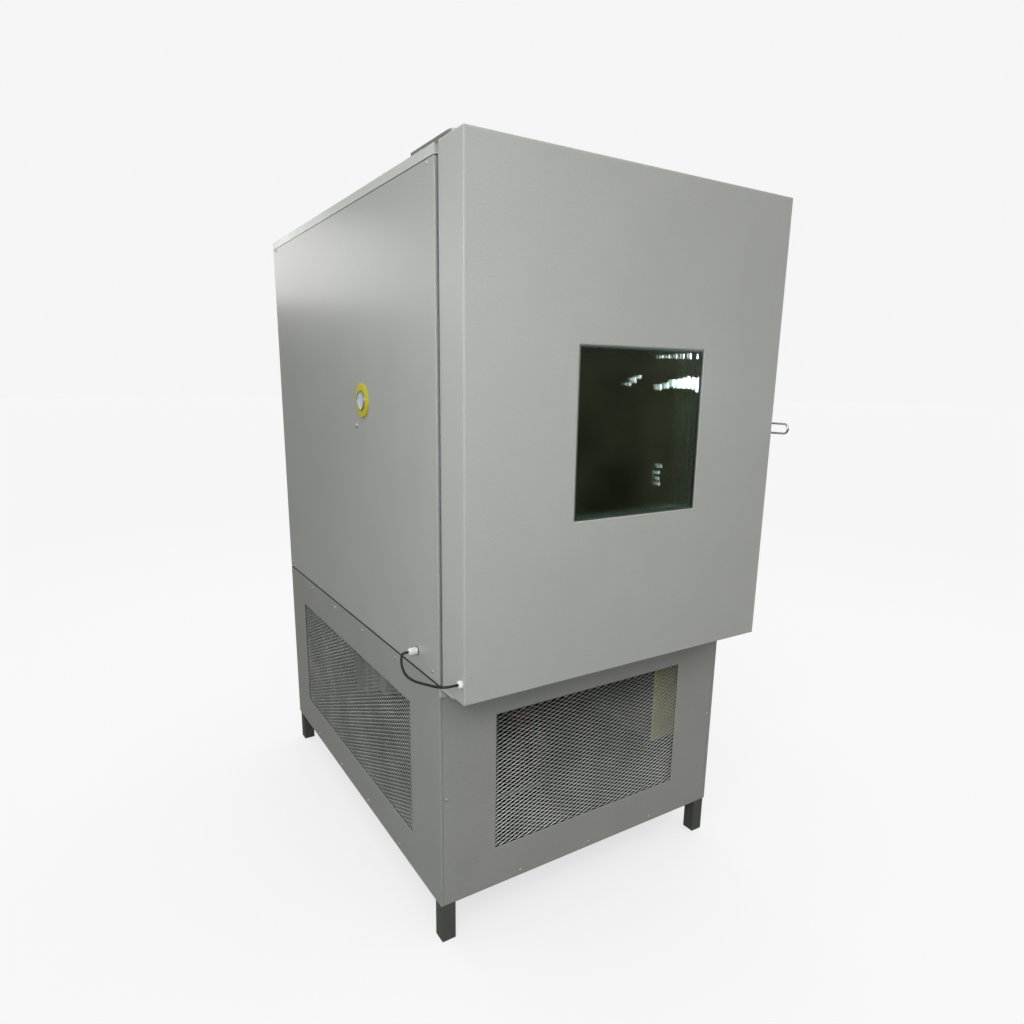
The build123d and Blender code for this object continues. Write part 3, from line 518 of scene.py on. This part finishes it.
def routeLine(name, route):
    curve = bpy.data.curves.new(name, "CURVE")
    curve.dimensions = "3D"
    curve.resolution_u = cableSetup["steps"]
    spline = curve.splines.new("NURBS")
    spline.points.add(len(route) - 1)
    for point, place in zip(spline.points, route):
        point.co = (*place, 1)
    spline.order_u = 3
    spline.use_endpoint_u = True
    obj = bpy.data.objects.new(name, curve)
    scene.collection.objects.link(obj)
    bpy.context.view_layer.update()
    line = bpy.data.meshes.new_from_object(obj)
    path = [v.co.copy() for v in line.vertices]
    bpy.data.objects.remove(obj)
    bpy.data.meshes.remove(line)
    return path


cablePath = routeLine("cableRoute", cableRoute)
cableTube = tubeAlong(cablePath, cableSetup["radius"], cableSetup["sides"])
cable = meshPiece("doorCable", *cableTube, "cableRubber", True)
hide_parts("door_cable")
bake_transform(cable)
[tuple(p) for p in cablePath]
print("cable laid")


# cable glands: six-sided nut, ribbed cap and a rounded mouth round the cable
glandSetup = {
    "ribs": 24,
    "ribDepth": 0.0006,
    "mouth": 0.0037,
    "mouthDepth": 0.4,  # share of the length
    # share of the length, metres added to it, share of the radius
    "nut": [(0, 0, 0.98), (0, 0.0008, 1.06), (0.35, -0.0006, 1.06), (0.35, 0, 0.97)],
    "cap": [(0.35, 0, 0.94), (0.35, 0.001, 1.0), (0.78, 0, 0.99), (0.92, 0, 0.86), (1.0, 0, 0.66)],
    "washer": (0.0012, 0.0114),  # thickness, radius
    "glands": [  # name, node, body, foot, direction, length, radius
        ("sideGland", "side_gland", "cabinet", (-0.5, -0.542, 0.805), (-1, 0, 0), 0.025, 0.0095),
        ("doorGland", "door_gland", "door", (-0.5, -0.788, 0.806), (-1, 0, 0), 0.010, 0.0095),
        ("mainsGland", "mains_gland", "cabinet", (0.35, 0.67, 0.19), (0, 1, 0), 0.030, 0.014),
    ],
}


def glandShapes(base, axis, length, radius):
    point = spinner(base, axis)
    nutProfile = [(length * share + more, radius * part) for share, more, part in glandSetup["nut"]]
    nut = turned(nutProfile, base, axis, 6)
    angles = fullTurn(glandSetup["ribs"] * 4)
    verts = []
    rings = []
    for share, more, part in glandSetup["cap"]:
        ribbed = part > 0.9
        dips = [glandSetup["ribDepth"] if ribbed and i % 4 in (0, 3) else 0 for i in range(len(angles))]
        ring = [point(length * share + more, radius * part - dip, a) for a, dip in zip(angles, dips)]
        rings.append(addRing(verts, ring))
    for along in (length, length * glandSetup["mouthDepth"]):
        rings.append(addRing(verts, [point(along, glandSetup["mouth"], a) for a in angles]))
    return [nut, (verts, bandsBetween(rings))]


def makeGland(name, node, body, base, axis, length, radius):
    obj = meshPiece(name, *joinShapes(glandShapes(base, axis, length, radius)), "whiteNylon")
    sharpen(obj, 30)
    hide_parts(node)
    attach(obj, body)


# dark sealing washer at the foot of the side gland
def makeWasher():
    thick, radius = glandSetup["washer"]
    foot = glandSetup["glands"][0][3]
    washer = meshPiece("glandWasher", *turned([(0, radius), (thick, radius)], foot, (-1, 0, 0)), "sealRubber")
    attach(washer, "cabinet")


for details in glandSetup["glands"]:
    makeGland(*details)
makeWasher()
print("glands made")


# expanded metal at its real pitch: each diamond's strands lean, so light catches them
expandedSetup = {
    "long": 0.0285,
    "short": 0.0122,
    "thickness": 0.0008,
    "blunt": 0.2,  # how blunt a diamond's long ends are
    "low": 0.234,
    "high": 0.636,
    "side": {"length": 0.996, "strandLong": 0.05, "strandShort": 0.12, "lean": 0.0013},
    "front": {"length": 0.664, "strandLong": 0.055, "strandShort": 0.12, "lean": 0.0017},
    "sidePlace": (-0.498, 0.010),
    "frontY": -0.668,
}


def expandedSheet(name, node, sheet, place):
    setup = expandedSetup
    length = sheet["length"]
    lean = sheet["lean"]
    thick = setup["thickness"]
    columns = round(length / setup["long"])
    rows = round((setup["high"] - setup["low"]) / setup["short"])
    halfLong = length / columns / 2
    halfShort = (setup["high"] - setup["low"]) / rows / 2
    a = halfLong * (1 - sheet["strandLong"])
    b = halfShort * (1 - sheet["strandShort"])
    blunt = b * setup["blunt"]
    verts = []
    faces = []
    index = {}

    # corners that neighbouring diamonds share
    def corner(x, z, depth):
        key = (round(x, 6), round(z, 6), depth)
        if key not in index:
            index[key] = len(verts)
            verts.append(place(x, z, depth))
        return index[key]

    for j in range(2 * rows + 1):
        for i in range(columns + 1 - j % 2):
            cx = -length / 2 + (2 * i + j % 2) * halfLong
            cz = setup["low"] + j * halfShort
            outer = [(cx + halfLong, cz), (cx, cz + halfShort), (cx - halfLong, cz), (cx, cz - halfShort)]
            # each strand's lower edge stands forward and its upper edge lies back
            ring = [(cx + a, cz - blunt, lean), (cx + a, cz + blunt, 0), (cx, cz + b, 0),
                    (cx - a, cz + blunt, 0), (cx - a, cz - blunt, lean), (cx, cz - b, lean)]
            sides = []
            for back in (0, thick):
                out = [corner(x, z, lean / 2 + back) for x, z in outer]
                inn = addRing(verts, [place(x, z, depth + back) for x, z, depth in ring])
                sides.append(inn)
                quads = [(out[0], out[1], inn[2], inn[1]), (out[1], out[2], inn[3], inn[2]),
                         (out[2], out[3], inn[5], inn[4]), (out[3], out[0], inn[0], inn[5]),
                         (out[0], inn[1], inn[0]), (out[2], inn[4], inn[3])]
                faces.extend(q[::-1] if back else q for q in quads)
            faces.extend(bandsBetween(sides))
    obj = meshPiece(name, verts, faces, "meshMetal")
    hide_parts(node)
    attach(obj, "cabinet")


def onSide(x, z, depth):
    sideX, sideY = expandedSetup["sidePlace"]
    return sideX + depth, sideY + x, z


def onFront(x, z, depth):
    return x, expandedSetup["frontY"] + depth, z


expandedSheet("leftExpandedMetal", "mesh_left", expandedSetup["side"], onSide)
expandedSheet("frontExpandedMetal", "mesh_front", expandedSetup["front"], onFront)
print("expanded metal made")


# panel screws: domed heads with a cross recess, and the small cap under the port
screwSetup = {
    "radius": 0.0045,
    "height": 0.0024,
    "recess": 0.0014,
    "corners": 24,
    "dome": [(0, 1.0), (0.35, 0.98), (0.7, 0.82), (0.92, 0.58)],  # shares of height and radius
    "cross": (0.48, 0.16),  # reach of the recess's arms and of its inner corners
    "turnStep": 0.7,  # radians from one screw's slot to the next
    "sideX": 0.5,
    "basePitch": 1.340 / 5.115,
    "baseRows": (0.133, 0.730),
    "bodyY": 0.634,
    "bodyRows": (0.780, 1.949),
    "endY": 0.670,
    "endPitch": 1.0 / 4.04,
    "endRows": (0.130, 0.730),
    "frontPlace": (0.482, 0.432),
    "capPlace": (-0.5, -0.148, 1.365),
    "cap": [(0, 0.007), (0.0026, 0.007), (0.0038, 0.0062), (0.004, 0.004), (0.0032, 0.003)],
}


def screwHead(base, axis, turn):
    setup = screwSetup
    height = setup["height"]
    point = spinner(base, axis)
    angles = fullTurn(setup["corners"], turn)
    verts = []
    rings = []
    for along, part in setup["dome"]:
        rings.append(addRing(verts, [point(height * along, setup["radius"] * part, a) for a in angles]))
    arm, notch = setup["cross"]
    reach = [setup["radius"] * (arm if i % 6 in (0, 1, 5) else notch) for i in range(len(angles))]
    for along in (height, height - setup["recess"]):
        rings.append(addRing(verts, [point(along, r, a) for r, a in zip(reach, angles)]))
    return verts, bandsBetween(rings) + [tuple(rings[-1])]


def allScrews():
    setup = screwSetup
    places = []
    count = 0
    for side in (-1, 1):
        x = side * setup["sideX"]
        row = [(x, (i - 1.5) * setup["basePitch"], z) for i in range(4) for z in setup["baseRows"]]
        row += [(x, y, z) for y in (-setup["bodyY"], setup["bodyY"]) for z in setup["bodyRows"]]
        for place in row:
            places.append((place, (side, 0, 0), count * setup["turnStep"]))
            count += 1
        frontX, frontZ = setup["frontPlace"]
        front = (side * frontX, -setup["endY"], frontZ)
        places.append((front, (0, -1, 0), count * setup["turnStep"]))
    low, high = setup["endRows"]
    for x in (-setup["endPitch"], 0, setup["endPitch"]):
        places.append(((x, -setup["endY"], low), (0, -1, 0), x * 3))
        places.append(((x, setup["endY"], low), (0, 1, 0), x * 5))
        places.append(((x, setup["endY"], high), (0, 1, 0), x * 7))
    shapes = [screwHead(*details) for details in places]
    shapes.append(turned(setup["cap"], setup["capPlace"], (-1, 0, 0), 36))
    return shapes


screws = meshPiece("panelScrews", *joinShapes(allScrews()), "screwSteel")
sharpen(screws, 40)
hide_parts("panel_screws")
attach(screws, "cabinet")
print("screws made")


# latch handle: a bent bright rod in a turned hub
latchSetup = {
    "x": 0.515,
    "z": 1.3715,
    "pivotY": -0.712,
    "endY": -0.844,
    "bend": 0.0135,
    "bendSteps": 16,
    "rod": 0.003,
    "rodSides": 20,
    "rodStart": -0.014,  # from the pivot, inside the hub
    "hubX": 0.510,
    "hub": [(0, 0.0185), (0.001, 0.020), (0.010, 0.020), (0.011, 0.019)],
}


def latchHandle():
    s = latchSetup
    startY = s["pivotY"] + s["rodStart"]
    arcY = s["endY"] + s["bend"]
    path = [(startY, s["bend"])]
    for i in range(s["bendSteps"] + 1):
        a = math.pi / 2 + math.pi * i / s["bendSteps"]
        path.append((arcY + s["bend"] * math.cos(a), s["bend"] * math.sin(a)))
    path.append((startY, -s["bend"]))
    line = [Vector((s["x"], y, s["z"] + up)) for y, up in path]
    rod = tubeAlong(line, s["rod"], s["rodSides"], across=Vector((1, 0, 0)), capped=False)
    hub = turned(s["hub"], (s["hubX"], s["pivotY"], s["z"]), (1, 0, 0), 48)
    obj = meshPiece("latchHandle", *joinShapes([rod, hub]), "chromeRod")
    sharpen(obj, 35)
    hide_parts("latch_handle")
    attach(obj, "latch")


latchHandle()
print("latch handle made")


# cable port: stepped yellow flange and a soft stopper with a raised rim
portSetup = {
    "centre": (-0.5, -0.2, 1.437),
    "flange": [(0, 0.048), (0.003, 0.048), (0.0042, 0.0472), (0.0045, 0.0455), (0.0045, 0.0285),
               (0.0038, 0.0277), (0, 0.0275)],
    "stopper": [(-0.1, 0.0246), (0.0008, 0.0246), (0.0008, 0.0266), (0.003, 0.0266), (0.004, 0.0257),
                (0.004, 0.0208), (0.0031, 0.0198), (0.0031, 0.0001)],
}


def portPieces():
    verts, faces = turned(portSetup["flange"], portSetup["centre"], (-1, 0, 0), 72)
    flange = meshPiece("portFlange", verts, faces[:-2], "portYellow")  # open, with no end faces
    sharpen(flange, 30)
    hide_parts("port_ring")
    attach(flange, "cabinet")
    shape = turned(portSetup["stopper"], portSetup["centre"], (-1, 0, 0), 64)
    stopper = meshPiece("portStopper", *shape, "siliconeStopper")
    sharpen(stopper, 40)
    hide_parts("port_plug")
    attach(stopper, "plug")


portPieces()
print("cable port made")


# studio: pale floor, a soft sky, a broad sun for evenness and area lamps for the fall-off
studioSetup = {
    "background": 0.918,
    "sky": 1.06,
    "skyLow": 0.55,  # the sky's share of that near the horizon
    "mirrorLow": (0.13, 0.135, 0.085),  # what shiny surfaces see at and below eye level
    "mirrorHigh": 0.8,
    "skyTop": 0.6,  # how high up both reach their full level
    "roomScale": 5,
    "roomDepth": (0.35, 1.5),
    "roomReach": (0.35, 0.65),
    "floorColour": 0.25,
    "floorGrain": 3,
    "floorShade": 0.995,
    "floorRough": 0.9,
    "floorShine": 0.1,
    "floorReach": 60,
    "floorLift": (0.69, 0.655),  # near the object, far away
    "liftReach": (1.5, 6.0),
    "suns": [
        {"name": "keySun", "towards": (0.25, 0.62, -0.75), "strength": 0.18, "angle": 38},
    ],
    "lamps": [
        {"name": "frontLamp", "place": (-1.5, -1.9, 1.9), "aim": (-0.2, -0.8, 1.5), "size": (0.9, 0.6),
         "watts": 7.1, "spread": 120, "tint": (1, 1, 1)},
        {"name": "leftStrip", "place": (-3.1, -2.0, 1.4), "aim": (-0.5, -0.8, 1.3), "size": (0.25, 2.4),
         "watts": 2.2, "spread": 60, "tint": (0.68, 0.86, 1.0)},
        {"name": "rearLamp", "place": (-1.45, 3.3, 2.35), "aim": (-0.5, 0.35, 1.75), "size": (1.3, 0.6),
         "watts": 2.25, "spread": 100, "tint": (1, 1, 1)},
    ],
}

# small far lamps that show as glints in the window: x and z on the outer pane, size, watts
glintSetup = {
    "paneY": -0.795,
    "distance": 4.0,
    "slim": 0.35,  # width over height
    "tint": (0.86, 0.97, 1.0),
    "glints": [
        (0.196, 1.49, 0.12, 0.5), (0.18, 1.494, 0.1, 0.4), (0.163, 1.496, 0.1, 0.36),
        (0.146, 1.494, 0.085, 0.28), (0.129, 1.493, 0.075, 0.2), (0.112, 1.494, 0.06, 0.1),
        (0.09, 1.487, 0.05, 0.05), (0.066, 1.484, 0.05, 0.03), (-0.005, 1.508, 0.03, 0.012),
        (-0.02, 1.5, 0.045, 0.022), (-0.037, 1.49, 0.03, 0.009), (0.188, 1.562, 0.045, 0.07),
        (0.163, 1.562, 0.045, 0.06), (0.138, 1.561, 0.04, 0.045), (0.113, 1.56, 0.035, 0.025),
        (0.088, 1.559, 0.03, 0.014), (0.066, 1.558, 0.03, 0.01), (0.083, 1.284, 0.035, 0.008),
        (0.077, 1.267, 0.03, 0.006), (0.076, 1.253, 0.03, 0.005), (0.08, 1.238, 0.035, 0.006),
    ],
}


def addGlints(setup):
    eye = Vector(cameraSetup["place"])
    for number, (x, z, size, watts) in enumerate(setup["glints"]):
        spot = Vector((x, setup["paneY"], z))
        back = (spot - eye).normalized()
        back.y = -back.y
        data = bpy.data.lights.new(f"glint{number:02d}", "AREA")
        data.shape = "ELLIPSE"
        data.size = size * setup["slim"]
        data.size_y = size
        data.energy = watts
        data.color = setup["tint"]
        lamp = bpy.data.objects.new(data.name, data)
        lamp.location = spot + back * setup["distance"]
        lamp.rotation_euler = (-back).to_track_quat("-Z", "Y").to_euler()
        lamp.visible_camera = False
        lamp.visible_diffuse = False
        scene.collection.objects.link(lamp)


# a lamp that lights everything but isn't mirrored by the window's panes
def hideFromPanes(lamp):
    panes = bpy.data.collections.new(lamp.name + "Panes")
    for nodeName in ("window_outer_pane", "window_inner_panes"):
        panes.objects.link(nodes[nodeName])
    lamp.light_linking.receiver_collection = panes
    for item in panes.collection_objects:
        item.light_linking.link_state = "EXCLUDE"


def mathNode(tree, operation, first, second, **values):
    node = addNode(tree, "ShaderNodeMath", operation=operation, **values)
    for socket, value in zip(node.inputs, (first, second)):
        if isinstance(value, bpy.types.NodeSocket):
            tree.links.new(value, socket)
        else:
            socket.default_value = value
    return node.outputs[0]


def mixShaders(tree, share, first, second):
    mix = tree.nodes.new("ShaderNodeMixShader")
    tree.links.new(share, mix.inputs["Fac"])
    tree.links.new(first.outputs[0], mix.inputs[1])
    tree.links.new(second.outputs[0], mix.inputs[2])
    return mix


def addSky(setup):
    world = bpy.data.worlds.new("studio")
    scene.world = world
    world.use_nodes = True
    tree = world.node_tree
    tree.nodes.clear()
    out = tree.nodes.new("ShaderNodeOutputWorld")
    seen = addNode(tree, "ShaderNodeBackground", Strength=1.0)
    seen.inputs["Color"].default_value = (setup["background"],) * 3 + (1,)
    sky = addNode(tree, "ShaderNodeBackground", Strength=setup["sky"])
    mirror = addNode(tree, "ShaderNodeBackground", Strength=1.0)
    heading = tree.nodes.new("ShaderNodeTexCoord")
    parts = tree.nodes.new("ShaderNodeSeparateXYZ")
    tree.links.new(heading.outputs["Generated"], parts.inputs[0])
    skyLow = (setup["skyLow"],) * 3
    for shader, low, high in ((mirror, setup["mirrorLow"], setup["mirrorHigh"]), (sky, skyLow, 1.0)):
        height = rangeOf(tree, parts.outputs["Z"], 0, 1, 0.0, setup["skyTop"])
        ramp = tree.nodes.new("ShaderNodeValToRGB")
        ramp.color_ramp.elements[0].color = (*low, 1)
        ramp.color_ramp.elements[1].color = (high, high, high, 1)
        tree.links.new(height, ramp.inputs["Fac"])
        tree.links.new(ramp.outputs["Color"], shader.inputs["Color"])
    # shapes of a room, faint, for the window to mirror
    room = addNode(tree, "ShaderNodeTexNoise", Scale=setup["roomScale"], Detail=3)
    tree.links.new(heading.outputs["Generated"], room.inputs["Vector"])
    shapes = rangeOf(tree, room.outputs["Fac"], *setup["roomDepth"], *setup["roomReach"])
    tree.links.new(shapes, mirror.inputs["Strength"])
    # light mirrored by a pane counts as a reflection even after it has gone back out through the glass
    rays = tree.nodes.new("ShaderNodeLightPath").outputs
    mirrored = mathNode(tree, "GREATER_THAN", rays["Glossy Depth"], 0.5)
    straight = mathNode(tree, "SUBTRACT", rays["Is Transmission Ray"], mirrored, use_clamp=True)
    direct = mathNode(tree, "MAXIMUM", rays["Is Camera Ray"], straight)
    bounce = mathNode(tree, "MAXIMUM", rays["Is Glossy Ray"], rays["Is Transmission Ray"])
    mix = mixShaders(tree, direct, mixShaders(tree, bounce, sky, mirror), seen)
    tree.links.new(mix.outputs[0], out.inputs["Surface"])


def addLamps(setup):
    for sun in setup["suns"]:
        data = bpy.data.lights.new(sun["name"], "SUN")
        data.energy = sun["strength"]
        data.angle = math.radians(sun["angle"])
        lamp = bpy.data.objects.new(sun["name"], data)
        lamp.rotation_euler = Vector(sun["towards"]).to_track_quat("-Z", "Y").to_euler()
        scene.collection.objects.link(lamp)
    for look in setup["lamps"]:
        data = bpy.data.lights.new(look["name"], "AREA")
        data.shape = "RECTANGLE"
        data.size, data.size_y = look["size"]
        data.energy = look["watts"]
        data.spread = math.radians(look["spread"])
        data.color = look["tint"]
        lamp = bpy.data.objects.new(look["name"], data)
        lamp.location = look["place"]
        heading = Vector(look["aim"]) - Vector(look["place"])
        lamp.rotation_euler = heading.to_track_quat("-Z", "Y").to_euler()
        lamp.visible_camera = False
        scene.collection.objects.link(lamp)
        hideFromPanes(lamp)


def addFloor(setup):
    mat, tree, shader = newMaterial("studioFloor")
    grain = noiseAt(tree, setup["floorGrain"])
    tone = (setup["floorColour"],) * 3
    shade = shadeBetween(tree, grain, scaled(tone, setup["floorShade"]), tone)
    tree.links.new(shade, shader.inputs["Base Color"])
    shader.inputs["Roughness"].default_value = setup["floorRough"]
    shader.inputs["Specular IOR Level"].default_value = setup["floorShine"]
    rays = tree.nodes.new("ShaderNodeLightPath")
    coords = tree.nodes.new("ShaderNodeTexCoord")
    away = addNode(tree, "ShaderNodeVectorMath", operation="LENGTH")
    tree.links.new(coords.outputs["Object"], away.inputs[0])
    level = rangeOf(tree, away.outputs["Value"], *setup["floorLift"], *setup["liftReach"])
    glow = addNode(tree, "ShaderNodeEmission")
    glow.inputs["Color"].default_value = (1, 1, 1, 1)
    lift = mathNode(tree, "MULTIPLY", rays.outputs["Is Camera Ray"], level)
    tree.links.new(lift, glow.inputs["Strength"])
    add = tree.nodes.new("ShaderNodeAddShader")
    tree.links.new(shader.outputs[0], add.inputs[0])
    tree.links.new(glow.outputs[0], add.inputs[1])
    tree.links.new(add.outputs[0], tree.nodes["Material Output"].inputs["Surface"])
    reach = setup["floorReach"]
    corners = [(-reach, -reach, 0), (reach, -reach, 0), (reach, reach, 0), (-reach, reach, 0)]
    mesh = bpy.data.meshes.new("floor")
    mesh.from_pydata(corners, [], [(0, 1, 2, 3)])
    mesh.materials.append(mat)
    floor = bpy.data.objects.new("floor", mesh)
    floor.visible_glossy = False
    floor.visible_transmission = False
    scene.collection.objects.link(floor)


addSky(studioSetup)
addLamps(studioSetup)
addGlints(glintSetup)
addFloor(studioSetup)
scene.view_settings.view_transform = "Standard"
print("studio lit")
